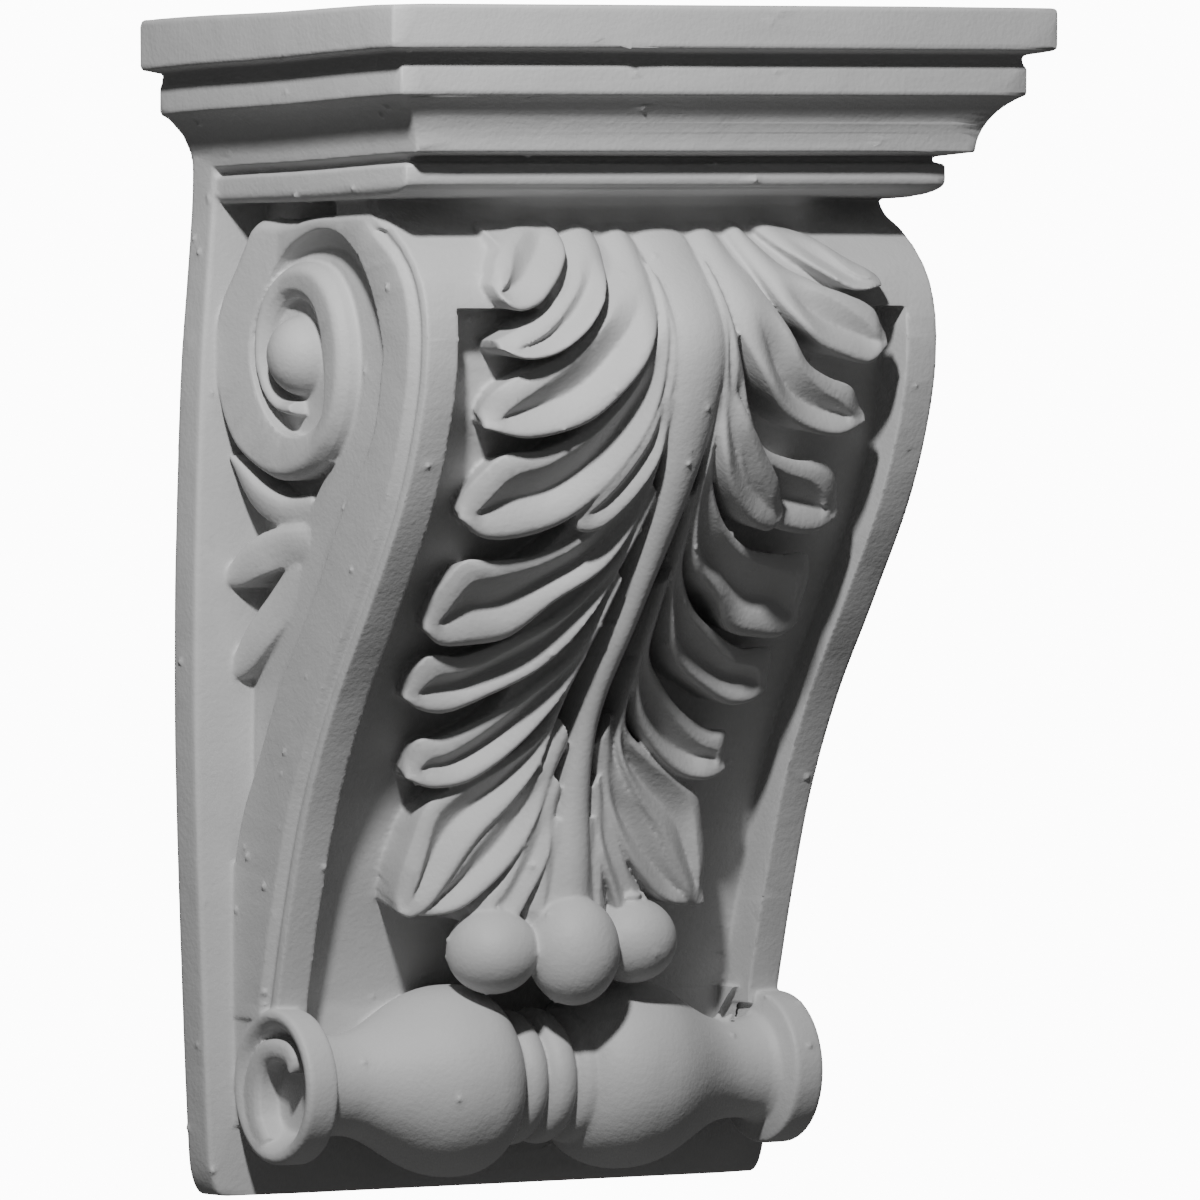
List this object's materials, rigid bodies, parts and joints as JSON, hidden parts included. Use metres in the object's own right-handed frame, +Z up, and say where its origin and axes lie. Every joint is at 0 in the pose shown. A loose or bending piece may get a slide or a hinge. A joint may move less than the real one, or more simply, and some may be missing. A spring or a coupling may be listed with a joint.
{
  "type": "corbel",
  "caption": "Carved wall corbel: moulded crown for a shelf over an S-shaped bracket with side volutes, acanthus leaf, berries and a turned roll at the foot.",
  "frame": {"origin": "on the flat back, on the centre line, 150 mm above the foot, where the wall fixing holds it", "axes": "+Z up, back in the plane y = 0 against the wall with +Y into the wall, front towards -Y, +X to the right as seen from the front"},
  "size_m": [0.197, 0.1275, 0.305],
  "materials": {
    "primed_casting": "matte grey primer, finely stippled"
  },
  "bodies": {
    "root": {"corbel_casting": "primed_casting"}
  },
  "joints": []
}
